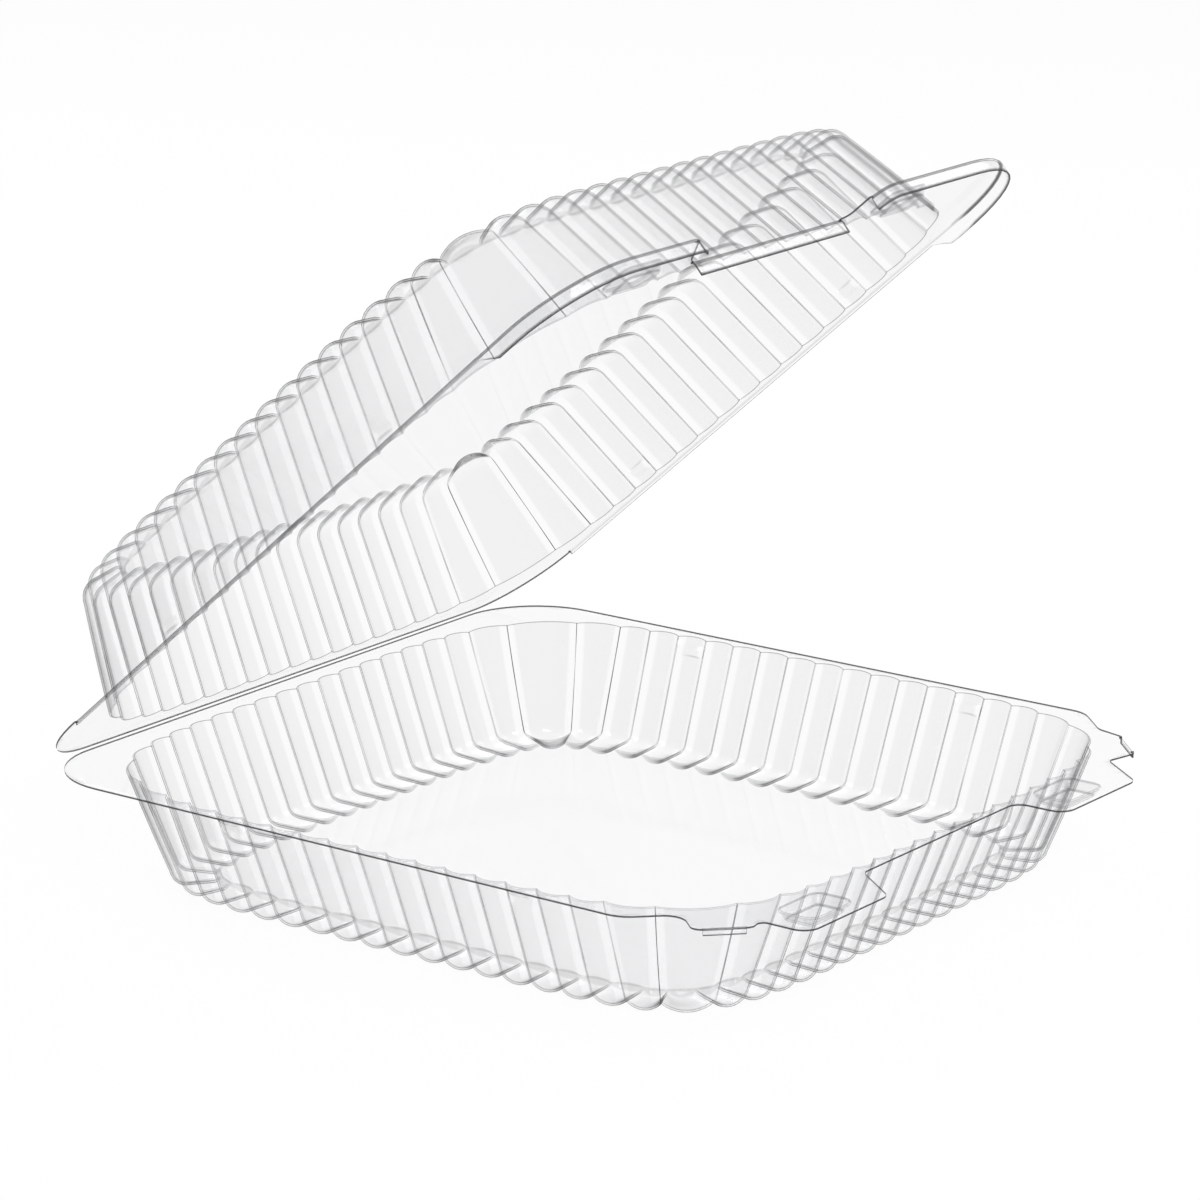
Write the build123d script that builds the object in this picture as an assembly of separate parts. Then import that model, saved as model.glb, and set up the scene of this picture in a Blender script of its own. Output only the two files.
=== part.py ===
"""Clear plastic clamshell pack: a fluted tray and a fluted lid, two halves of one thin formed sheet.

X runs along the crease that joins the halves, Y from the front edge to the crease, Z up.
The origin is on the ground under the middle of the open pack, close to the middle of the tray.
"""
import os
from math import asin, cos, hypot, radians, sin, sqrt, tan

from build123d import *

# Sheet and clearances
sheet = 0.5
rim_gap = 0.5  # between the two rims when the lid is shut
skirt_gap = 0.6  # from the tray's rim to the lid's skirt around it
stud_gap = 0.5  # from a stud of the lid to its socket in the tray
crease_gap = 0.3  # between the edges of the two halves at the crease
lid_angle = 41.0  # how far the lid stands open, in degrees

# Rim that both halves share
rim_width = 229.0
rim_length = 240.0  # crease to the recessed middle of the front edge
side_flange = 4.5
crease_flange = 8.0
front_flange = 4.0
crease_corner = 26.0  # radius of the rim's corners at the crease

# Latch tabs: square at one end, slanted at the other
latch_start_shares = (-0.83, 0.258)  # of half the rim's width
latch_width = 37.0
latch_slant = 12.0
latch_reach = 16.0
latch_corner = 5.0
latch_root = 4.0

# Sockets in the tray's latch tabs, which the lid's studs press into
socket_length = 18.5
socket_width = 12.0
socket_depth = 3.2
socket_chamfer = 3.0
socket_offset = 19.5  # from the square end of a latch tab to the socket's middle
socket_setback = 11.5  # from the outer edge of a latch tab to the socket's middle
socket_taper = 25.0  # slope of its walls, in degrees

# Finger tabs at the tray's front corners
finger_place_shares = (-0.921, 0.828)  # of half the rim's width
finger_width = 16.6
finger_setback = 3.5  # from the recessed front edge to the middle of the tab's edge
finger_corner = 3.0
finger_lip = 2.0
neck_in = 11.5  # from the rim's side to the neck behind a finger tab
neck_back = 15.0
neck_radius = 6.0
shoulder_back = 27.0
shoulder_radius = 10.0

# Lid's front corners and skirt
lid_corners = (26.0, 42.0)
skirt_height = 4.2
skirt_low = 0.6  # its height where it ends near the crease

# Flutes of both wells
flute_count = 15
flute_facets = 3
flute_depth = 2.2
corner_depth = 3.0
run_shares = (0.67, 0.64)  # of half a side: where the even flutes end, at the rim and at the foot
corner_shares = (0.79, 0.69)  # of half a side: where the wider flute beyond them ends
rim_power = 5.0  # squareness of the well at its rim
foot_power = 7.0  # squareness of the well at its foot
bend_steps = 2

# Well of the tray
tray_depth = 34.5
tray_draft = 22.0
tray_bend = 2.5
tray_run = 7.0
tray_ramp = 2.0

# Well of the lid
lid_depth = 36.5
lid_draft = 19.0
lid_bend = 4.0
lid_run = 6.0
lid_ramp = 2.0

half_x = rim_width / 2 - side_flange
half_y = (rim_length - crease_flange - front_flange) / 2
side_x = rim_width / 2
crease_y = half_y + crease_flange
crease_edge = crease_y - crease_gap / 2
front_y = -half_y - front_flange
latch_y = front_y - latch_reach
latch_starts = [share * side_x for share in latch_start_shares]
finger_places = [share * side_x for share in finger_place_shares]
axis_z = tray_depth + rim_gap / 2
diagonal = sqrt(2) / 2


def bow(mark, half_along, half_across, power):
    """How far the bowed side of a squarish ring lies from the middle, at a mark along that side."""
    return half_across * (1 - abs(mark / half_along) ** power) ** (1 / power)


def ring_plan(inset, share):
    """Ridge points of one ring of the well, counter-clockwise from the front near corner."""
    along_x = half_x - inset
    along_y = half_y - inset
    power = rim_power + (foot_power - rim_power) * share
    run, end = (rim + (foot - rim) * share for rim, foot in (run_shares, corner_shares))
    marks = [run * (2 * k / flute_count - 1) for k in range(flute_count + 1)]
    marks = [-end] + marks + [end]
    front = [(m * half_x, -bow(m * half_x, along_x, along_y, power)) for m in marks]
    right = [(bow(m * half_y, along_y, along_x, power), m * half_y) for m in marks]
    return front + right + [(-x, -y) for x, y in front + right]


def ring_edges(inset, drop, lean, bulge, share):
    """Edges of one ring: facets of an arc that bulges out, or down by the lean angle, for each flute."""
    plan = ring_plan(inset, share)
    per_side = flute_count + 3
    points = []
    for i, (x0, y0) in enumerate(plan):
        x1, y1 = plan[(i + 1) % len(plan)]
        deep = flute_depth
        if i % per_side == per_side - 1:
            deep += (corner_depth - flute_depth) * cos(radians(lean))
        chord = hypot(x1 - x0, y1 - y0)
        radius = (chord ** 2 / 4 + deep ** 2) / (2 * deep)
        spread = asin(chord / (2 * radius))
        crown = cos(spread * (flute_facets % 2) / flute_facets) - cos(spread)
        for k in range(flute_facets):
            turn = spread * (2 * k / flute_facets - 1)
            along = 1 / 2 + radius * sin(turn) / chord
            rise = deep * bulge * (cos(turn) - cos(spread)) / crown
            out = rise * cos(radians(lean)) / chord
            x = x0 + along * (x1 - x0) + out * (y1 - y0)
            y = y0 + along * (y1 - y0) - out * (x1 - x0)
            points.append((x, y, -drop - rise * sin(radians(lean))))
    return [Edge.make_line(points[k - 1], points[k]) for k in range(len(points))]


def well_path(depth, draft, bend, run, ramp):
    """Path of a ridge down the outside of a well, as (inset, drop, lean, bulge), from below the rim."""
    slope = tan(radians(draft))
    ridge = depth - flute_depth
    wall = ridge - bend * (1 - sin(radians(draft)))
    path = [(sheet * slope, sheet, 0, True), (wall * slope, wall, 0, True)]
    for k in range(1, bend_steps + 1):
        turn = k / bend_steps
        angle = radians(draft + (90 - draft) * turn)
        inset = wall * slope + bend * (cos(radians(draft)) - cos(angle))
        path.append((inset, wall + bend * (sin(angle) - sin(radians(draft))), 90 * turn, True))
    foot = path[-1][0]
    return path + [(foot + run, ridge, 90, True), (foot + run + ramp, ridge, 90, False)]


def inner_path(path):
    """The same path on the inside of the sheet, from the top of the rim."""
    shifted = [(i + sheet * cos(radians(a)), d - sheet * sin(radians(a)), a, b) for i, d, a, b in path]
    return [(sheet, 0, 0, True)] + shifted[1:]


def skin(path):
    """Faces of one side of the sheet in a well, with its rim ring."""
    foot = path[-1][0]
    rings = [ring_edges(*level, level[0] / foot) for level in path]
    faces = []
    for upper, lower in zip(rings, rings[1:]):
        faces += [Face.make_surface_from_curves(a, b) for a, b in zip(upper, lower)]
    return faces + [Face(Wire(rings[-1]))], Wire(rings[0])


def polygon(points):
    return Face(Wire.make_polygon(points, close=True))


def octagon(centre, length, width, z):
    """Rectangle with cut corners, flat at a height."""
    x, y = centre
    a, b = length / 2, width / 2
    corners = [(a, b - socket_chamfer), (a - socket_chamfer, b)]
    quarter = corners + [(-p, q) for p, q in reversed(corners)]
    return [(x + p, y + q, z) for p, q in quarter + [(-p, -q) for p, q in quarter]]


def cup(centre, length, width, rise):
    """Faces of a socket that sinks below the rim, or of a stud that stands above it, and its two mouths."""
    wall = sheet if rise < 0 else -sheet
    faces = []
    mouths = []
    for z, grow in ((0, 0), (-sheet, wall)):
        shrink = grow - abs(rise) * tan(radians(socket_taper))
        mouth = octagon(centre, length + 2 * grow, width + 2 * grow, z)
        end = octagon(centre, length + 2 * shrink, width + 2 * shrink, z + rise)
        count = len(mouth)
        faces += [polygon([mouth[i], mouth[i - 1], end[i - 1], end[i]]) for i in range(count)]
        faces.append(polygon(end))
        mouths.append(Wire.make_polygon(mouth, close=True))
    return faces, mouths


def rounded(corners):
    """Outline through corners (x, y, radius): lines as (start, end) and arcs as (start, middle, end)."""
    tangents = []
    for i, (x, y, radius) in enumerate(corners):
        before, after = Vector(*corners[i - 1][:2]), Vector(*corners[(i + 1) % len(corners)][:2])
        here = Vector(x, y)
        a, b = (before - here).normalized(), (after - here).normalized()
        half = radians(a.get_angle(b)) / 2
        middle = here + (a + b).normalized() * (radius / sin(half) - radius)
        setback = radius / tan(half)
        tangents.append((here + a * setback, middle, here + b * setback))
    pieces = []
    for i, arc in enumerate(tangents):
        pieces += [(tangents[i - 1][2], arc[0]), arc]
    return pieces


def grown(corners, distances):
    """Corners moved out: each edge, from one corner to the next, by its own distance."""
    lines = []
    for i, (x, y, _) in enumerate(corners):
        x1, y1, _ = corners[(i + 1) % len(corners)]
        out = Vector(y1 - y, x - x1).normalized() * distances[i]
        lines.append((Vector(x, y) + out, Vector(x1 - x, y1 - y).normalized()))
    moved = []
    for i, (_, _, radius) in enumerate(corners):
        (p, u), (q, v) = lines[i - 1], lines[i]
        turn = u.X * v.Y - u.Y * v.X
        along = ((q.X - p.X) * v.Y - (q.Y - p.Y) * v.X) / turn
        meet = p + u * along
        moved.append((meet.X, meet.Y, radius + distances[i] * (1 if turn > 0 else -1)))
    return moved


def at(point, z):
    return (point.X, point.Y, z)


def curve(piece, z, inset=0):
    """Edge of an outline's piece at a height, moved in from the outline."""
    points = list(piece)
    if inset:
        points = [p + n * inset for p, n in zip(piece, inward(piece))]
    points = [at(p, z) for p in points]
    return Edge.make_line(*points) if len(points) == 2 else Edge.make_three_point_arc(*points)


def inward(piece):
    """Directions into the outline at the points of a piece of it that is straight or bulges out."""
    if len(piece) == 2:
        along = (piece[1] - piece[0]).normalized()
        return [Vector(-along.Y, along.X)] * 2
    start, middle, end = piece
    chord = (end - start).normalized()
    facing = Vector(-chord.Y, chord.X)
    rise = (start + (end - start) * 0.5 - middle).length
    radius = ((end - start).length ** 2 / 4 + rise ** 2) / (2 * rise)
    centre = middle + facing * radius
    return [(centre - p).normalized() for p in piece]


def rim(pieces, fins, holes_above, holes_below):
    """Faces of a flat rim with its top at zero. Fins are walls along its edge, as (start, end) heights:
    above zero they stand on the top, below it they hang from the underside."""
    faces = []
    wires = {0: [], -sheet: []}
    for i, piece in enumerate(pieces):
        fin = fins.get(i)
        if not fin:
            faces.append(Face.make_surface_from_curves(curve(piece, 0), curve(piece, -sheet)))
            for z, edges in wires.items():
                edges.append(curve(piece, z))
            continue
        plane, other = (0, -sheet) if fin[0] > 0 else (-sheet, 0)
        wires[other].append(curve(piece, other))
        start, end = piece[0], piece[-1]
        first, last = start + inward(piece)[0] * sheet, end + inward(piece)[-1] * sheet
        tips = (plane + fin[0], plane + fin[1])
        joins = (fins.get((i - 1) % len(pieces)), fins.get((i + 1) % len(pieces)))
        if not joins[0]:
            wires[plane].append(Edge.make_line(at(start, plane), at(first, plane)))
            ends = [at(start, plane), at(first, plane), at(first, tips[0]), at(start, tips[0])]
            faces.append(polygon(ends))
        wires[plane].append(curve(piece, plane, sheet))
        if not joins[1]:
            wires[plane].append(Edge.make_line(at(last, plane), at(end, plane)))
            ends = [at(end, plane), at(last, plane), at(last, tips[1]), at(end, tips[1])]
            faces.append(polygon(ends))
        if len(piece) == 2:
            outside = [at(start, other), at(end, other), at(end, plane)]
            faces.append(polygon(outside + [at(end, tips[1]), at(start, tips[0]), at(start, plane)]))
            inside = [at(first, plane), at(last, plane), at(last, tips[1]), at(first, tips[0])]
            faces.append(polygon(inside))
            edge = [at(start, tips[0]), at(end, tips[1]), at(last, tips[1]), at(first, tips[0])]
            faces.append(polygon(edge))
        else:
            outer, inner = curve(piece, tips[0]), curve(piece, tips[0], sheet)
            faces.append(Face.make_surface_from_curves(curve(piece, other), curve(piece, plane)))
            faces.append(Face.make_surface_from_curves(curve(piece, plane), outer))
            faces.append(Face.make_surface_from_curves(curve(piece, plane, sheet), inner))
            faces.append(Face.make_surface_from_curves(outer, inner))
    faces.append(Face(Wire(wires[0]), holes_above))
    faces.append(Face(Wire(wires[-sheet]), holes_below))
    return faces


def half(pieces, fins, path, cups):
    """One half of the pack with its rim's top at zero and its well below it."""
    below, ring_below = skin(path)
    above, ring_above = skin(inner_path(path))
    faces = below + above
    holes_above = [ring_above]
    holes_below = [ring_below]
    for place in cups:
        cup_faces, (mouth_above, mouth_below) = cup(*place)
        faces += cup_faces
        holes_above.append(mouth_above)
        holes_below.append(mouth_below)
    return Solid(Shell(faces + rim(pieces, fins, holes_above, holes_below)))


def finger_tab(hand, x):
    """Corners of a finger tab and the neck behind it, from the tab's end by the notch to the side."""
    middle_y = front_y + finger_setback
    step = finger_width / 2 * diagonal
    return [
        (x - hand * step, middle_y - step, finger_corner),
        (x + hand * step, middle_y + step, finger_corner),
        (hand * (side_x - neck_in), middle_y + neck_back, neck_radius),
        (hand * side_x, middle_y + shoulder_back, shoulder_radius),
    ]


def latch_ends(start):
    """Places along the front edge where a latch tab starts, where its end starts to slant and where that ends."""
    slant_start = start + latch_width
    return start, slant_start, slant_start + latch_slant


def tray():
    """Fluted tray with sockets in its latch tabs and a lip on each finger tab."""
    near, far = (latch_ends(start) for start in latch_starts)
    near_finger, far_finger = (finger_tab(hand, x) for hand, x in zip((-1, 1), finger_places))
    corners = [(-side_x, crease_edge, crease_corner)] + near_finger[::-1]
    near_lip = len(corners) - 2
    corners += [
        (near[0], front_y, latch_root / 2),
        (near[0], latch_y, latch_corner),
        (near[1], latch_y, latch_corner),
        (near[2], front_y, latch_root),
        (far[0], front_y, latch_root),
        (far[0], latch_y, latch_corner),
        (far[1], latch_y, latch_corner),
        (far[2], front_y, latch_root / 2),
    ]
    far_lip = len(corners)
    corners += far_finger + [(side_x, crease_edge, crease_corner)]
    lips = {2 * (k + 1): (-finger_lip, -finger_lip) for k in (near_lip, far_lip)}
    path = well_path(tray_depth, tray_draft, tray_bend, tray_run, tray_ramp)
    middles = [(start + socket_offset, latch_y + socket_setback) for start in latch_starts]
    sockets = [(middle, socket_length, socket_width, -socket_depth) for middle in middles]
    return half(rounded(corners), lips, path, sockets).moved(Location((0, 0, tray_depth)))


def lid():
    """Fluted lid with studs under its latch tabs and a skirt around its rim, turned open."""
    near, far = (latch_ends(start) for start in latch_starts)
    corners = [
        (-side_x, crease_edge, crease_corner),
        (-side_x, latch_y, lid_corners[0]),
        (near[1], latch_y, latch_corner),
        (near[2], front_y, latch_root),
        (far[0], front_y, latch_root),
        (far[0], latch_y, latch_corner),
        (side_x, latch_y, lid_corners[1]),
        (side_x, crease_edge, crease_corner),
    ]
    over = skirt_gap + sheet
    corners = grown(corners, [over] * (len(corners) - 1) + [0])
    full = (skirt_height, skirt_height)
    skirts = {k: full for k in (3, 4, 5, 8, 11, 12, 13)}
    skirts[2] = (skirt_low, skirt_height)
    skirts[14] = (skirt_height, skirt_low)
    path = well_path(lid_depth, lid_draft, lid_bend, lid_run, lid_ramp)
    middles = [(start + socket_offset, latch_y + socket_setback) for start in latch_starts]
    size = (socket_length - 2 * stud_gap, socket_width - 2 * stud_gap, socket_depth - stud_gap)
    shell = half(rounded(corners), skirts, path, [(middle, *size) for middle in middles])
    shut = shell.mirror(Plane.XY).moved(Location((0, 0, tray_depth + rim_gap)))
    return shut.rotate(Axis((0, crease_y, axis_z), (-1, 0, 0)), lid_angle)


os.makedirs("parts", exist_ok=True)
halves = {"base_tray": tray(), "lid": lid()}
front = halves["base_tray"].bounding_box().min.Y
back = halves["lid"].bounding_box().max.Y
middle = (front + back) / 2
for name, solid in halves.items():
    export_step(solid.moved(Location((0, -middle, 0))), os.path.join("parts", name + ".step"))
print("crease axis", 0, crease_y - middle, axis_z, "well middle", -middle)
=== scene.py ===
from collections import namedtuple
from math import acos, asin, atan2, ceil, cos, hypot, pi, radians, sin, tan

import bmesh
import bpy
from mathutils import Matrix, Vector
from mathutils.geometry import delaunay_2d_cdt


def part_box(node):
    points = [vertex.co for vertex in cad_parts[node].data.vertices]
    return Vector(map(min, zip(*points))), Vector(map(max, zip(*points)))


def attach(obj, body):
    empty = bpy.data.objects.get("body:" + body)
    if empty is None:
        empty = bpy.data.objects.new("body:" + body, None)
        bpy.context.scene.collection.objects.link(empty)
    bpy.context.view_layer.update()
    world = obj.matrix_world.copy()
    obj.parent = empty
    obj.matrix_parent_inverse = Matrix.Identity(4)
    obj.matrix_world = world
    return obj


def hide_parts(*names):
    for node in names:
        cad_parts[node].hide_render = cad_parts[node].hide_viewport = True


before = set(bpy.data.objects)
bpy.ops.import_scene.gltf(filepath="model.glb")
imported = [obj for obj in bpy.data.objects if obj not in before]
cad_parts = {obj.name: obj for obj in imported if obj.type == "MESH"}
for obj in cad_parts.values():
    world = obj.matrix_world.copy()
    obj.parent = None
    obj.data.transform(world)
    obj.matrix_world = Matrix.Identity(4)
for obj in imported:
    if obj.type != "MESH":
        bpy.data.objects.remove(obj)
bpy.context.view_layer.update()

MM = 0.001  # in metres
DIAGONAL = 0.70711  # sine of 45 degrees

# Sizes in millimetres and degrees, counts and shares, the same as in the part's source
SHEET = 0.5
RIM_GAP = 0.5
SKIRT_GAP = 0.6
STUD_GAP = 0.5
CREASE_GAP = 0.3
LID_ANGLE = 41.0
SIDE_X = 114.5
HALF_X = 110.0
HALF_Y = 114.0
CREASE_Y = 122.0
FRONT_Y = -118.0
LATCH_Y = -134.0
CREASE_EDGE = CREASE_Y - CREASE_GAP / 2
CREASE_CORNER = 26.0
LATCH_START_SHARES = (-0.83, 0.258)
LATCH_WIDTH = 37.0
LATCH_SLANT = 12.0
LATCH_CORNER = 5.0
LATCH_ROOT = 4.0
SOCKET_LENGTH = 18.5
SOCKET_WIDTH = 12.0
SOCKET_DEPTH = 3.2
SOCKET_OFFSET = 19.5
SOCKET_SETBACK = 11.5
SOCKET_TAPER = 25.0
FINGER_PLACE_SHARES = (-0.921, 0.828)
FINGER_WIDTH = 16.6
FINGER_SETBACK = 3.5
FINGER_CORNER = 3.0
FINGER_LIP = 2.0
NECK_IN = 11.5
NECK_BACK = 15.0
NECK_RADIUS = 6.0
SHOULDER_BACK = 27.0
SHOULDER_RADIUS = 10.0
LID_CORNERS = (26.0, 42.0)
SKIRT_HEIGHT = 4.2
FLUTES = 15
FLUTE_DEPTH = 2.2
CORNER_DEPTH = 3.0
TRAY_DEPTH = 34.5
LID_DEPTH = 36.5
TRAY_WELL = {"depth": TRAY_DEPTH, "draft": 22.0, "bend": 2.5, "run": 7.0, "ramp": 2.0}
LID_WELL = {"depth": LID_DEPTH, "draft": 19.0, "bend": 4.0, "run": 6.0, "ramp": 2.0}

# The plan of a well at its rim and at its foot, also as in the part's source
RUN_SHARES = (0.67, 0.64)
CORNER_SHARES = (0.79, 0.69)
PLAN_POWERS = (5.0, 7.0)

# Sizes of the finer forms, which are this script's own
SKIRT_LOW = 0.8
SKIRT_STEP = 0.955
SKIRT_STEP_LENGTH = 0.03
FIN_BEND = 0.9
FIN_BEND_SHARE = 0.9
FIN_BEND_ROWS = 4
SCALLOP = 1.6
RIM_LINE = 0.35
FLUTE_WIDTH = 9.8
LUG_CELLS = (3, 13)
LUG_DROPS = (2.6, 3.4, 5.4, 6.2)
LUG_SHARE = 0.25
CUP_SOFT = 0.8
CUP_CORNER = 3.0
CUP_LEAST_CORNER = 0.8

# How finely the skins are divided
SEGMENTS = 10
WALL_STEPS = 8
FIRST_WALL_STEP = 3
BEND_STEPS = 8
LINE_STEP = 3.0
ARC_STEP = 7.0
QUARTER_STEPS = 8
FLOOR_SHARES = (0.93, 0.6, 0.25)
GRID = 4.0
GRID_COLUMNS = range(-32, 33)
GRID_ROWS = range(-36, 33)
GRID_CLEAR = 1.6
FLAT = 1e-4
SAME_PLACE = 1e-4
CDT_EPSILON = 1e-5
WELD_M = 2e-6
SHARP_ANGLE = 36.0

# Values of the skins' "along" where a well's wall, bend and run end. It is 1 on the floor and all flat panels
WALL_END = 0.6
BEND_END = 0.8
RUN_END = 0.9

# How dark the painted lines are that the skins carry: painted shade along the rim, the floor's scallops, the
# cups and the fins, standing in for the dark lines that refraction shows at these edges. A fin's rows go from
# the rim round its bend to its edge, and a cup's rows give how far they go in and down, as shares of its soft
# edge, before their marks
RIM_PAINTED_LINE = 0.75
RAMP_PAINTED_LINES = ((0.2, 0.0), (0.4, 0.43), (0.6, 0.45), (0.8, 0.45), (1.0, 0.6))
CUP_EDGE_PAINTED_LINE = 0.67
CUP_WALL_PAINTED_LINE = 0.42
CUP_MOUTH = ((-1.0, 0.0, 0.0), (-0.35, 0.25, CUP_EDGE_PAINTED_LINE), (0.2, 1.0, CUP_WALL_PAINTED_LINE))
CUP_END = ((-0.2, -1.0, CUP_WALL_PAINTED_LINE), (0.4, -0.25, CUP_EDGE_PAINTED_LINE), (1.0, 0.0, 0.0))
FIN_PAINTED_LINES = (0.0, 0.7, 1.0, 0.7, 0.0, 0.0, 0.3, 1.0)
FAR_FADE = 0.55

# Pieces of the lid's outline that carry its skirt, by their place in it, and corners of the tray's outline
# at which its lips end
NEAR_SIDE = 2
FAR_SIDE = 14
FULL_SKIRTS = (3, 4, 5, 8, 11, 12, 13)
LIP_CORNERS = (4, 14)

axis_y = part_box("base_tray")[1].y / MM + CREASE_GAP / 2
well_y = axis_y - CREASE_Y

# One ring of a well: its place, how its flutes lean and bulge and are cut back, and what its points carry
Level = namedtuple("Level", "inset drop lean bulge along scallop mark", defaults=(0.0, 1.0, 1.0, 0.0, 0.0))


class Sheet:
    """Points and faces of one skin, with each point's place across and along its flute, and its mark, which
    is how dark the painted line there is.
    """

    def __init__(self):
        self.points = []
        self.across = []
        self.along = []
        self.mark = []
        self.faces = []

    def add(self, point, across=0.0, along=1.0, mark=0.0):
        self.points.append(point)
        self.across.append(across)
        self.along.append(along)
        self.mark.append(mark)
        return len(self.points) - 1

    def band(self, upper, lower, closed=True):
        count = len(upper)
        for i in range(count if closed else count - 1):
            j = (i + 1) % count
            face = (upper[i], upper[j], lower[j], lower[i])
            self.faces.append(face if closed else face[::-1])

    def bands(self, rows, closed=True):
        for upper, lower in zip(rows, rows[1:]):
            self.band(upper, lower, closed)


def between(pair, share):
    return pair[0] + (pair[1] - pair[0]) * share


def bow(mark, half_along, half_across, power):
    return half_across * (1 - abs(mark / half_along) ** power) ** (1 / power)


def ring_plan(inset, share):
    """Places of the ridges between the flutes around a well, share of the way from its rim to its foot."""
    along_x, along_y = HALF_X - inset, HALF_Y - inset
    power = between(PLAN_POWERS, share)
    run, end = between(RUN_SHARES, share), between(CORNER_SHARES, share)
    marks = [-end] + [run * (2 * k / FLUTES - 1) for k in range(FLUTES + 1)] + [end]
    front = [(m * HALF_X, -bow(m * HALF_X, along_x, along_y, power)) for m in marks]
    right = [(bow(m * HALF_Y, along_y, along_x, power), m * HALF_Y) for m in marks]
    return front + right + [(-x, -y) for x, y in front + right]


def ring(sheet, level, foot):
    """One ring of a well: a rounded bulge for each flute, with two lugs under the rim of each side wall."""
    plan = ring_plan(level.inset, min(level.inset / foot, 1.0))
    per_side = FLUTES + 3
    lean = radians(level.lean)
    ids = []
    for i, (x0, y0) in enumerate(plan):
        x1, y1 = plan[(i + 1) % len(plan)]
        chord = hypot(x1 - x0, y1 - y0)
        side, cell = divmod(i, per_side)
        deep = FLUTE_DEPTH
        if cell == per_side - 1:
            deep += (CORNER_DEPTH - FLUTE_DEPTH) * cos(lean)
        if side % 2 and cell in LUG_CELLS and level.drop in LUG_DROPS[1:3]:
            deep *= LUG_SHARE
        deep = max(deep * level.bulge, FLAT)
        radius = (chord * chord / 4 + deep * deep) / (2 * deep)
        half = asin(chord / 2 / radius)
        ux, uy = (x1 - x0) / chord, (y1 - y0) / chord
        scallop = level.scallop if 0 < cell < FLUTES + 1 else 0.0
        for j in range(SEGMENTS):
            t = 2 * j / SEGMENTS - 1
            run = radius * sin(half * t)
            rise = radius * cos(half * t) - (radius - deep)
            out = rise * cos(lean) - scallop * (1 - t * t)
            x = (x0 + x1) / 2 + run * ux + out * uy
            y = (y0 + y1) / 2 + run * uy - out * ux
            z = -level.drop - rise * sin(lean)
            from_ridge = (1.0 - abs(t)) * chord
            across = max(0.0, 1.0 - from_ridge / FLUTE_WIDTH) if level.drop else 0.0
            ids.append(sheet.add((x, y, z), across, level.along, level.mark))
    return ids


def well_levels(depth, draft, bend, run, ramp):
    """Rings of the inside of a well, from the rim to the floor, and how far in its foot is."""
    slope = tan(radians(draft))
    ridge = depth - FLUTE_DEPTH
    wall = ridge - bend * (1 - sin(radians(draft)))
    wall_drops = [wall * k / WALL_STEPS for k in range(FIRST_WALL_STEP, WALL_STEPS + 1)]
    levels = [Level(SHEET, 0.0)]
    for drop in (RIM_LINE, 2 * RIM_LINE, *LUG_DROPS, *wall_drops):
        mark = RIM_PAINTED_LINE if drop == RIM_LINE else 0.0
        levels.append(Level(drop * slope + SHEET, drop, along=WALL_END * drop / wall, mark=mark))
    for k in range(1, BEND_STEPS + 1):
        turn = k / BEND_STEPS
        angle = radians(draft + (90 - draft) * turn)
        lean = 90 * turn
        inset = wall * slope + bend * (cos(radians(draft)) - cos(angle)) + SHEET * cos(radians(lean))
        drop = wall + bend * (sin(angle) - sin(radians(draft))) - SHEET * sin(radians(lean))
        levels.append(Level(inset, drop, lean, along=between((WALL_END, BEND_END), turn)))
    bent = levels[-1].inset
    drop = ridge - SHEET
    for share in (0.5, 1.0):
        along = between((BEND_END, RUN_END), share)
        levels.append(Level(bent + run * share, drop, 90.0, along=along, scallop=SCALLOP * share))
    for share, mark in RAMP_PAINTED_LINES:
        bulge = cos(pi / 2 * share) if share < 1 else 0.0
        along = between((RUN_END, 1.0), share)
        levels.append(Level(bent + run + ramp * share, drop, 90.0, bulge, along, SCALLOP, mark))
    foot = bent + run + ramp
    levels.append(Level(foot + RIM_LINE, drop, 90.0, bulge=0.0, scallop=SCALLOP))
    return levels, foot


def rounded(corners):
    """Outline through corners (x, y, radius) as lines and arcs in turn, of points and directions out."""
    tangents = []
    for i, (x, y, radius) in enumerate(corners):
        here = Vector((x, y))
        a = (Vector(corners[i - 1][:2]) - here).normalized()
        b = (Vector(corners[(i + 1) % len(corners)][:2]) - here).normalized()
        half = acos(max(-1.0, min(1.0, a.dot(b)))) / 2
        centre = here + (a + b).normalized() * (radius / sin(half))
        setback = radius / tan(half)
        tangents.append((here + a * setback, centre, here + b * setback, radius))
    pieces = []
    for i, (start, centre, end, radius) in enumerate(tangents):
        before = tangents[i - 1][2]
        steps = max(2, ceil((start - before).length / LINE_STEP))
        along = (start - before).normalized()
        out = Vector((along.y, -along.x))
        pieces.append([(before.lerp(start, k / steps), out) for k in range(steps + 1)])
        a0 = atan2(start.y - centre.y, start.x - centre.x)
        a1 = atan2(end.y - centre.y, end.x - centre.x)
        turn = (a1 - a0 + pi) % (2 * pi) - pi
        steps = max(4, ceil(abs(turn) / radians(ARC_STEP)))
        arc = []
        for k in range(steps + 1):
            a = a0 + turn * k / steps
            out = Vector((cos(a), sin(a)))
            arc.append((centre + out * radius, out if turn > 0 else -out))
        pieces.append(arc)
    return pieces


def grown(corners, distances):
    """Corners moved out so that each side of the outline moves by its own distance."""
    lines = []
    for i, (x, y, _) in enumerate(corners):
        x1, y1, _ = corners[(i + 1) % len(corners)]
        out = Vector((y1 - y, x - x1)).normalized() * distances[i]
        lines.append((Vector((x, y)) + out, Vector((x1 - x, y1 - y)).normalized()))
    moved = []
    for i, (_, _, radius) in enumerate(corners):
        (p, u), (q, v) = lines[i - 1], lines[i]
        turn = u.x * v.y - u.y * v.x
        along = ((q.x - p.x) * v.y - (q.y - p.y) * v.x) / turn
        meet = p + u * along
        moved.append((meet.x, meet.y, radius + distances[i] * (1 if turn > 0 else -1)))
    return moved


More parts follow.
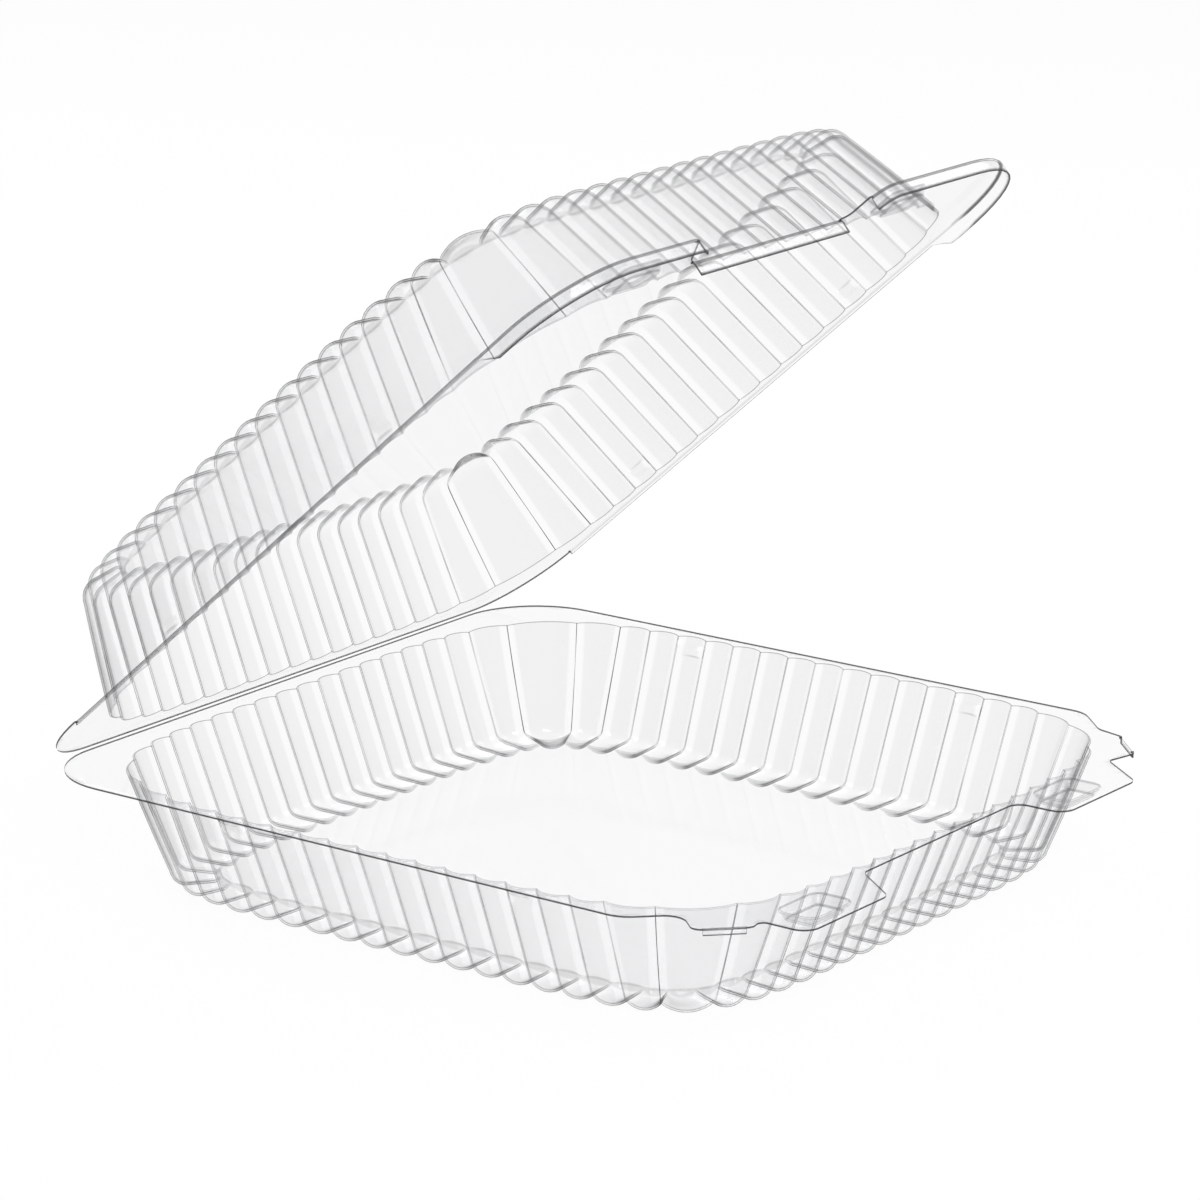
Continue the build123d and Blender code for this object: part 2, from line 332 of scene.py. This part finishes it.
def pill(centre, length, width, radius):
    """Rounded rectangle as points, counter-clockwise."""
    points = []
    for sx, sy, start in ((1, 1, 0), (-1, 1, 90), (-1, -1, 180), (1, -1, 270)):
        for k in range(QUARTER_STEPS + 1):
            a = radians(start + 90 * k / QUARTER_STEPS)
            x = sx * (length / 2 - radius) + radius * cos(a)
            y = sy * (width / 2 - radius) + radius * sin(a)
            points.append((centre[0] + x, centre[1] + y))
    return points


def cup(sheet, centre, length, width, rise):
    """A socket that sinks below the rim, or a stud that stands above it. Gives its mouth."""
    sign = 1 if rise > 0 else -1
    tall = abs(rise)
    narrower = tall * tan(radians(SOCKET_TAPER))
    # Rows at the soft edges of the mouth and the end carry painted dark lines
    profile = [(CUP_SOFT * a, CUP_SOFT * b, mark) for a, b, mark in CUP_MOUTH]
    profile += [(narrower + CUP_SOFT * a, tall + CUP_SOFT * b, mark) for a, b, mark in CUP_END]
    rows = []
    for shrink, height, mark in profile:
        corner = max(CUP_CORNER - shrink, CUP_LEAST_CORNER)
        loop = pill(centre, length - 2 * shrink, width - 2 * shrink, corner)
        rows.append([sheet.add((x, y, sign * height), mark=mark) for x, y in loop])
    sheet.bands(rows)
    sheet.faces.append(tuple(rows[-1]))
    return [sheet.points[i][:2] for i in rows[0]]


def inside(x, y, loop):
    hit = False
    x0, y0 = loop[-1]
    for x1, y1 in loop:
        if (y0 > y) != (y1 > y) and x < (x1 - x0) * (y - y0) / (y1 - y0) + x0:
            hit = not hit
        x0, y0 = x1, y1
    return hit


def near_loop(x, y, loop):
    return any(hypot(px - x, py - y) < GRID_CLEAR for px, py in loop)


def flat_rim(sheet, outline, holes):
    """Flat rim between its outline and its holes, with a loose grid of points in it."""

    def on_rim(x, y):
        return inside(x, y, outline) and not any(inside(x, y, hole) for hole in holes)

    loops = [outline] + holes
    edges = []
    points = []
    for loop in loops:
        first = len(points)
        points += loop
        edges += [(first + k, first + (k + 1) % len(loop)) for k in range(len(loop))]
    for i in GRID_COLUMNS:
        for j in GRID_ROWS:
            x, y = i * GRID, j * GRID
            if on_rim(x, y) and not any(near_loop(x, y, loop) for loop in loops):
                points.append((x, y))
    made = delaunay_2d_cdt([Vector(p) for p in points], edges, [], 0, CDT_EPSILON)
    ids = [sheet.add((v.x, v.y, 0.0)) for v in made[0]]
    for face in made[2]:
        x = sum(made[0][k].x for k in face) / len(face)
        y = sum(made[0][k].y for k in face) / len(face)
        if on_rim(x, y):
            sheet.faces.append(tuple(ids[k] for k in face))


def fin(sheet, piece, heights, turn, fade):
    """Wall along a piece of the outline, above the rim for turn 1 and below it for -1. Gives its foot."""
    inset = SHEET if turn > 0 else 0.0
    start = SKIRT_STEP if heights[0] < heights[1] else 1 - SKIRT_STEP
    wall_rows = len(FIN_PAINTED_LINES) - 1 - FIN_BEND_ROWS
    rows = [[] for _ in FIN_PAINTED_LINES]
    root = []
    for k, (p, n) in enumerate(piece):
        share = k / (len(piece) - 1)
        risen = min(max((share - start) / SKIRT_STEP_LENGTH + 0.5, 0.0), 1.0)
        height = between(heights, risen)
        bend = min(FIN_BEND, height * FIN_BEND_SHARE)
        root.append(p - n * (bend + inset))
        for step, row in enumerate(rows):
            angle = pi / 2 * min(step / FIN_BEND_ROWS, 1.0)
            out = bend * sin(angle)
            up = bend * (1 - cos(angle)) + (height - bend) * max(step - FIN_BEND_ROWS, 0) / wall_rows
            q = root[-1] + n * out
            # Each row carries a painted dark line, fainter on the far side
            row.append(sheet.add((q.x, q.y, turn * up), mark=FIN_PAINTED_LINES[step] * fade))
    sheet.bands(rows, closed=False)
    return root


def half_shell(corners, fins, turn, levels, foot, cups):
    """One half of the pack with its rim at zero and its well below it."""
    sheet = Sheet()
    rings = [ring(sheet, level, foot) for level in levels]
    sheet.bands(rings)
    floor = [sheet.points[i] for i in rings[-1]]
    rows = [rings[-1]]
    for share in FLOOR_SHARES:
        rows.append([sheet.add((x * share, y * share, z)) for x, y, z in floor])
    sheet.bands(rows)
    middle = sheet.add((0.0, 0.0, floor[0][2]))
    last = rows[-1]
    for i in range(len(last)):
        sheet.faces.append((last[i], last[(i + 1) % len(last)], middle))
    holes = [[sheet.points[i][:2] for i in rings[0]]]
    for place in cups:
        holes.append(cup(sheet, *place))
    outline = []
    for i, piece in enumerate(rounded(corners)):
        run = [p for p, _ in piece]
        if i in fins:
            run = fin(sheet, piece, fins[i], turn, FAR_FADE if i == FAR_SIDE else 1.0)
        for p in run:
            if not outline or hypot(p.x - outline[-1][0], p.y - outline[-1][1]) > SAME_PLACE:
                outline.append((p.x, p.y))
    if hypot(outline[0][0] - outline[-1][0], outline[0][1] - outline[-1][1]) < SAME_PLACE:
        outline.pop()
    flat_rim(sheet, outline, holes)
    return sheet


def mesh_object(name, sheet, place, flip, clear, edge):
    """Object with a skin as its mesh, in metres in the row frame."""
    mesh = bpy.data.meshes.new(name)
    faces = [tuple(reversed(f)) for f in sheet.faces] if flip else sheet.faces
    mesh.from_pydata([place @ Vector(p) for p in sheet.points], [], faces)
    for label, values in (("across", sheet.across), ("along", sheet.along), ("mark", sheet.mark)):
        layer = mesh.attributes.new(label, "FLOAT", "POINT")
        layer.data.foreach_set("value", values)
    bm = bmesh.new()
    bm.from_mesh(mesh)
    bmesh.ops.remove_doubles(bm, verts=bm.verts, dist=WELD_M)
    bm.to_mesh(mesh)
    bm.free()
    mesh.shade_smooth()
    mesh.set_sharp_from_angle(angle=radians(SHARP_ANGLE))
    mesh.materials.append(clear)
    mesh.materials.append(edge)
    obj = bpy.data.objects.new(name, mesh)
    bpy.context.scene.collection.objects.link(obj)
    return obj


def node(tree, kind, **sockets):
    made = tree.nodes.new(kind)
    for key, value in sockets.items():
        made.inputs[key].default_value = value
    return made


def calc(tree, operation, a, b):
    """Result of a Math node. Each of a and b is a number or the output of a node."""
    made = tree.nodes.new("ShaderNodeMath")
    made.operation = operation
    for k, value in enumerate((a, b)):
        if isinstance(value, (int, float)):
            made.inputs[k].default_value = value
        else:
            tree.links.new(value, made.inputs[k])
    return made.outputs[0]


def mixed_shader(tree, share, first, second):
    made = tree.nodes.new("ShaderNodeMixShader")
    tree.links.new(share, made.inputs["Fac"])
    tree.links.new(first.outputs[0], made.inputs[1])
    tree.links.new(second.outputs[0], made.inputs[2])
    return made


def ramped(tree, label, low, high):
    """How far an attribute of the mesh has gone from low to high, smoothly."""
    source = tree.nodes.new("ShaderNodeAttribute")
    source.attribute_name = label
    made = tree.nodes.new("ShaderNodeMapRange")
    made.interpolation_type = "SMOOTHSTEP"
    made.inputs["From Min"].default_value = low
    made.inputs["From Max"].default_value = high
    tree.links.new(source.outputs["Fac"], made.inputs["Value"])
    return made.outputs["Result"]


# Thresholds and strengths that the clear material uses, most of them for its painted shade
PAINTED_BAND_EDGES = (0.62, 0.42)
PAINTED_RIDGE_EDGES = (0.965, 1.0)
FLOOR_EDGES = (0.98, 0.88)
PAINTED_LINE_EDGES = (0.3, 1.0)
NOISE_SCALE = 60.0
NOISE_GAIN = 2.0
PAINTED_SLANT_POWER = 3.0
OUTLINE_POWER = 8.0
GLOSS_POWER = 5.0
RIDGE_OFF_WALL = 0.35
OUTLINE_ON_FLOOR = 0.06
OUTLINE_LOST_ON_WALL = 0.65
MOST_TINT_AND_SHADE = 0.95
GLOSS_FACE_ON = 0.02
GLOSS_EDGE_ON = 0.12
ROUGHNESS = 0.08
THROUGH = (0.995, 0.996, 0.998, 1.0)
WHITE = (1.0, 1.0, 1.0, 1.0)
BLUER = 1.03


def clear_material(name, grey, body, band=0.0, painted_slant=0.0, outline=0.0, painted_ridge_line=0.0, mark=0.0):
    """Clear plastic: a faint tint of its own, almost nothing face on; painted shade stands in for refraction
    and reflection, pale grey down each flute and dark along ridges and marked lines, and darkening edge on
    that is partly the longer path through the sheet and partly painted shade.
    """
    material = bpy.data.materials.new(name)
    material.use_nodes = True
    tree = material.node_tree
    tree.nodes.clear()
    facing = node(tree, "ShaderNodeLayerWeight", Blend=0.5).outputs["Facing"]
    place = tree.nodes.new("ShaderNodeTexCoord")
    noise = node(tree, "ShaderNodeTexNoise", Scale=NOISE_SCALE, Detail=0.0)
    tree.links.new(place.outputs["Object"], noise.inputs["Vector"])
    wall = ramped(tree, "along", BEND_END, WALL_END)

    # Painted shade for the refraction in the flutes: pale bands down the walls and grey on their slanted
    # parts
    bands = calc(tree, "MULTIPLY", ramped(tree, "across", *PAINTED_BAND_EDGES), band)
    painted_slants = calc(tree, "MULTIPLY", calc(tree, "POWER", facing, PAINTED_SLANT_POWER), painted_slant)
    shade = calc(tree, "MULTIPLY", calc(tree, "ADD", bands, painted_slants), wall)

    # Painted dark lines along the ridges, standing in for the shade that refraction shows there, uneven and
    # strongest on the walls
    uneven_painted_ridge = calc(tree, "MULTIPLY", noise.outputs["Fac"], NOISE_GAIN)
    ridge = calc(tree, "MULTIPLY", ramped(tree, "across", *PAINTED_RIDGE_EDGES), uneven_painted_ridge)
    strength = calc(tree, "MULTIPLY", calc(tree, "ADD", wall, RIDGE_OFF_WALL), painted_ridge_line)
    ridge = calc(tree, "MULTIPLY", ridge, strength)

    # Dark where the skin is seen edge on, partly from the longer path through the sheet and partly painted
    # shade, less so on the walls and hardly at all on the flat panels
    rounding = calc(tree, "ADD", ramped(tree, "along", *FLOOR_EDGES), OUTLINE_ON_FLOOR)
    off_wall = calc(tree, "SUBTRACT", 1.0, calc(tree, "MULTIPLY", wall, OUTLINE_LOST_ON_WALL))
    amount = calc(tree, "MULTIPLY", calc(tree, "POWER", facing, OUTLINE_POWER), outline)
    amount = calc(tree, "MULTIPLY", calc(tree, "MULTIPLY", amount, rounding), off_wall)

    # Painted dark lines from the skins' mark attribute
    marks = calc(tree, "MULTIPLY", ramped(tree, "mark", *PAINTED_LINE_EDGES), mark)
    amount = calc(tree, "ADD", calc(tree, "ADD", amount, body), calc(tree, "ADD", shade, ridge))
    amount = calc(tree, "MINIMUM", calc(tree, "ADD", amount, marks), MOST_TINT_AND_SHADE)
    through = node(tree, "ShaderNodeBsdfTransparent", Color=THROUGH)
    # The grey layer: the plastic's own faint tint plus all the painted shade above
    tint_and_painted_shade = node(tree, "ShaderNodeBsdfDiffuse", Color=(grey, grey, grey * BLUER, 1.0))
    shine = node(tree, "ShaderNodeBsdfGlossy", Color=WHITE, Roughness=ROUGHNESS)
    gloss = calc(tree, "MULTIPLY", calc(tree, "POWER", facing, GLOSS_POWER), GLOSS_EDGE_ON)
    gloss = calc(tree, "ADD", gloss, GLOSS_FACE_ON)
    surface = mixed_shader(tree, gloss, mixed_shader(tree, amount, through, tint_and_painted_shade), shine)
    out = tree.nodes.new("ShaderNodeOutputMaterial")
    tree.links.new(surface.outputs[0], out.inputs["Surface"])
    return material


clear = clear_material(
    "clear_plastic", grey=0.03, body=0.012, band=0.045, painted_slant=0.06, outline=2.1, painted_ridge_line=0.6, mark=0.7)
# The cut edges of the sheet: nearly opaque near-black grey, painted shade for the dark look that refraction
# gives them
edge = clear_material("clear_plastic_edge_painted_dark", grey=0.01, body=0.9)


def latch(share):
    """Where a latch tab's square end is along the front, and its slanted end at the tip and the root."""
    start = share * SIDE_X
    return start, start + LATCH_WIDTH, start + LATCH_WIDTH + LATCH_SLANT


def finger_tab(hand, share):
    """Corners of a finger tab and the neck and shoulder behind it, from the front to the side."""
    x, y = share * SIDE_X, FRONT_Y + FINGER_SETBACK
    half = FINGER_WIDTH / 2 * DIAGONAL
    return [
        (x - hand * half, y - half, FINGER_CORNER),
        (x + hand * half, y + half, FINGER_CORNER),
        (hand * (SIDE_X - NECK_IN), y + NECK_BACK, NECK_RADIUS),
        (hand * SIDE_X, y + SHOULDER_BACK, SHOULDER_RADIUS),
    ]


near, far = [latch(share) for share in LATCH_START_SHARES]
middles = [(start + SOCKET_OFFSET, LATCH_Y + SOCKET_SETBACK) for start, _, _ in (near, far)]

# Tray
tray_corners = [
    (-SIDE_X, CREASE_EDGE, CREASE_CORNER),
    *finger_tab(-1, FINGER_PLACE_SHARES[0])[::-1],
    (near[0], FRONT_Y, LATCH_ROOT / 2),
    (near[0], LATCH_Y, LATCH_CORNER),
    (near[1], LATCH_Y, LATCH_CORNER),
    (near[2], FRONT_Y, LATCH_ROOT),
    (far[0], FRONT_Y, LATCH_ROOT),
    (far[0], LATCH_Y, LATCH_CORNER),
    (far[1], LATCH_Y, LATCH_CORNER),
    (far[2], FRONT_Y, LATCH_ROOT / 2),
    *finger_tab(1, FINGER_PLACE_SHARES[1]),
    (SIDE_X, CREASE_EDGE, CREASE_CORNER),
]
tray_lips = {2 * corner: (FINGER_LIP, FINGER_LIP) for corner in LIP_CORNERS}
tray_sockets = [(m, SOCKET_LENGTH, SOCKET_WIDTH, -SOCKET_DEPTH) for m in middles]
levels, foot = well_levels(**TRAY_WELL)
tray_sheet = half_shell(tray_corners, tray_lips, -1, levels, foot, tray_sockets)
tray_place = Matrix.Scale(MM, 4) @ Matrix.Translation((0.0, well_y, TRAY_DEPTH))
tray = mesh_object("tray_shell", tray_sheet, tray_place, False, clear, edge)

# Lid, built with its well below its rim as the tray is, then mirrored onto the tray and opened
lid_corners = [
    (-SIDE_X, CREASE_EDGE, CREASE_CORNER),
    (-SIDE_X, LATCH_Y, LID_CORNERS[0]),
    (near[1], LATCH_Y, LATCH_CORNER),
    (near[2], FRONT_Y, LATCH_ROOT),
    (far[0], FRONT_Y, LATCH_ROOT),
    (far[0], LATCH_Y, LATCH_CORNER),
    (SIDE_X, LATCH_Y, LID_CORNERS[1]),
    (SIDE_X, CREASE_EDGE, CREASE_CORNER),
]
lid_corners = grown(lid_corners, [SKIRT_GAP + SHEET] * (len(lid_corners) - 1) + [0])
skirts = {k: (SKIRT_HEIGHT, SKIRT_HEIGHT) for k in FULL_SKIRTS}
skirts[NEAR_SIDE] = (SKIRT_LOW, SKIRT_HEIGHT)
skirts[FAR_SIDE] = (SKIRT_HEIGHT, SKIRT_LOW)
lid_studs = [
    (m, SOCKET_LENGTH - 2 * STUD_GAP, SOCKET_WIDTH - 2 * STUD_GAP, SOCKET_DEPTH - STUD_GAP) for m in middles
]
levels, foot = well_levels(**LID_WELL)
lid_sheet = half_shell(lid_corners, skirts, 1, levels, foot, lid_studs)
axis = Vector((0.0, axis_y, TRAY_DEPTH + RIM_GAP / 2))
turned = Matrix.Rotation(radians(LID_ANGLE), 4, Vector((-1, 0, 0)))
opened = Matrix.Translation(axis) @ turned @ Matrix.Translation(-axis)
over = Matrix.Scale(-1, 4, Vector((0, 0, 1)))
shut = Matrix.Translation((0.0, well_y, TRAY_DEPTH + RIM_GAP)) @ over
lid = mesh_object("lid_shell", lid_sheet, Matrix.Scale(MM, 4) @ opened @ shut, True, clear, edge)

for obj, body, name in ((tray, "base", "base_tray"), (lid, "lid", "lid")):
    thick = obj.modifiers.new("sheet", "SOLIDIFY")
    thick.thickness = SHEET * MM
    thick.offset = -1.0
    thick.use_even_offset = False
    thick.use_quality_normals = True
    # The cut edges take the painted-dark edge material
    thick.material_offset_rim = 1
    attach(obj, body)
    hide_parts(name)

# Floor, light and camera
SKY_STRENGTH = 0.6
FLOOR_REACH = 6.0
FLOOR_GREY = (0.9, 0.9, 0.9, 1.0)
FLOOR_WHITE = 0.9
LAMP_AIM = Vector((0, 0, 0.08))
LAMPS = (
    ("key", (-0.9, -1.1, 1.4), 0.9, 14.0),
    ("fill", (1.2, -0.5, 0.9), 0.9, 6.0),
    ("back", (0.3, 1.3, 1.2), 0.8, 8.0),
)
PHOTO_AZIMUTH = -53.16
PHOTO_ELEVATION = 15.73
AIM_BEFORE_CREASE = 120.0
CAMERA_DISTANCE = 1539.7
CAMERA_RIGHT = -2.02
CAMERA_UP = 43.18
SENSOR_WIDTH = 36.0
LENS = 161.03

scene = bpy.context.scene
scene.view_settings.view_transform = "Standard"
scene.cycles.transparent_max_bounces = 48
scene.cycles.max_bounces = 2
scene.cycles.adaptive_threshold = 0.05


def white_for_camera(tree, shader, share, out):
    """Adds white that the camera sees, directly, in gloss or through glass, to a shader."""
    path = tree.nodes.new("ShaderNodeLightPath")
    seen = calc(tree, "MAXIMUM", path.outputs["Is Camera Ray"], path.outputs["Is Glossy Ray"])
    seen = calc(tree, "MAXIMUM", seen, path.outputs["Is Transmission Ray"])
    seen = calc(tree, "MULTIPLY", seen, share)
    kind = "ShaderNodeBackground" if out.type == "OUTPUT_WORLD" else "ShaderNodeEmission"
    white = node(tree, kind, Color=WHITE, Strength=1.0)
    surface = mixed_shader(tree, seen, shader, white)
    tree.links.new(surface.outputs[0], out.inputs["Surface"])


world = bpy.data.worlds.new("studio")
scene.world = world
world.use_nodes = True
tree = world.node_tree
tree.nodes.clear()
sky = node(tree, "ShaderNodeBackground", Color=WHITE, Strength=SKY_STRENGTH)
white_for_camera(tree, sky, 1.0, tree.nodes.new("ShaderNodeOutputWorld"))

floor_mesh = bpy.data.meshes.new("floor")
floor_signs = ((-1, -1), (1, -1), (1, 1), (-1, 1))
floor_points = [(sx * FLOOR_REACH, sy * FLOOR_REACH, 0) for sx, sy in floor_signs]
floor_mesh.from_pydata(floor_points, [], [(0, 1, 2, 3)])
floor = bpy.data.objects.new("floor", floor_mesh)
scene.collection.objects.link(floor)
pale = bpy.data.materials.new("pale_floor")
pale.use_nodes = True
tree = pale.node_tree
tree.nodes.clear()
matt = node(tree, "ShaderNodeBsdfDiffuse", Color=FLOOR_GREY)
white_for_camera(tree, matt, FLOOR_WHITE, tree.nodes.new("ShaderNodeOutputMaterial"))
floor_mesh.materials.append(pale)

for name, place, size, power in LAMPS:
    data = bpy.data.lights.new(name, "AREA")
    data.size = size
    data.energy = power
    lamp = bpy.data.objects.new(name, data)
    lamp.location = place
    lamp.rotation_mode = "QUATERNION"
    lamp.rotation_quaternion = (LAMP_AIM - Vector(place)).to_track_quat("-Z", "Y")
    scene.collection.objects.link(lamp)

azimuth, elevation = radians(PHOTO_AZIMUTH), radians(PHOTO_ELEVATION)
back = Vector((sin(azimuth) * cos(elevation), -cos(azimuth) * cos(elevation), sin(elevation)))
right = Vector((cos(azimuth), sin(azimuth), 0.0))
up = back.cross(right)
centre = Vector((0.0, axis_y - AIM_BEFORE_CREASE, TRAY_DEPTH))
camera_data = bpy.data.cameras.new("camera")
camera_data.sensor_width = SENSOR_WIDTH
camera_data.lens = LENS
camera = bpy.data.objects.new("camera", camera_data)
camera.location = (centre + back * CAMERA_DISTANCE + right * CAMERA_RIGHT + up * CAMERA_UP) * MM
camera.rotation_mode = "QUATERNION"
camera.rotation_quaternion = (-back).to_track_quat("-Z", "Y")
scene.collection.objects.link(camera)
scene.camera = camera
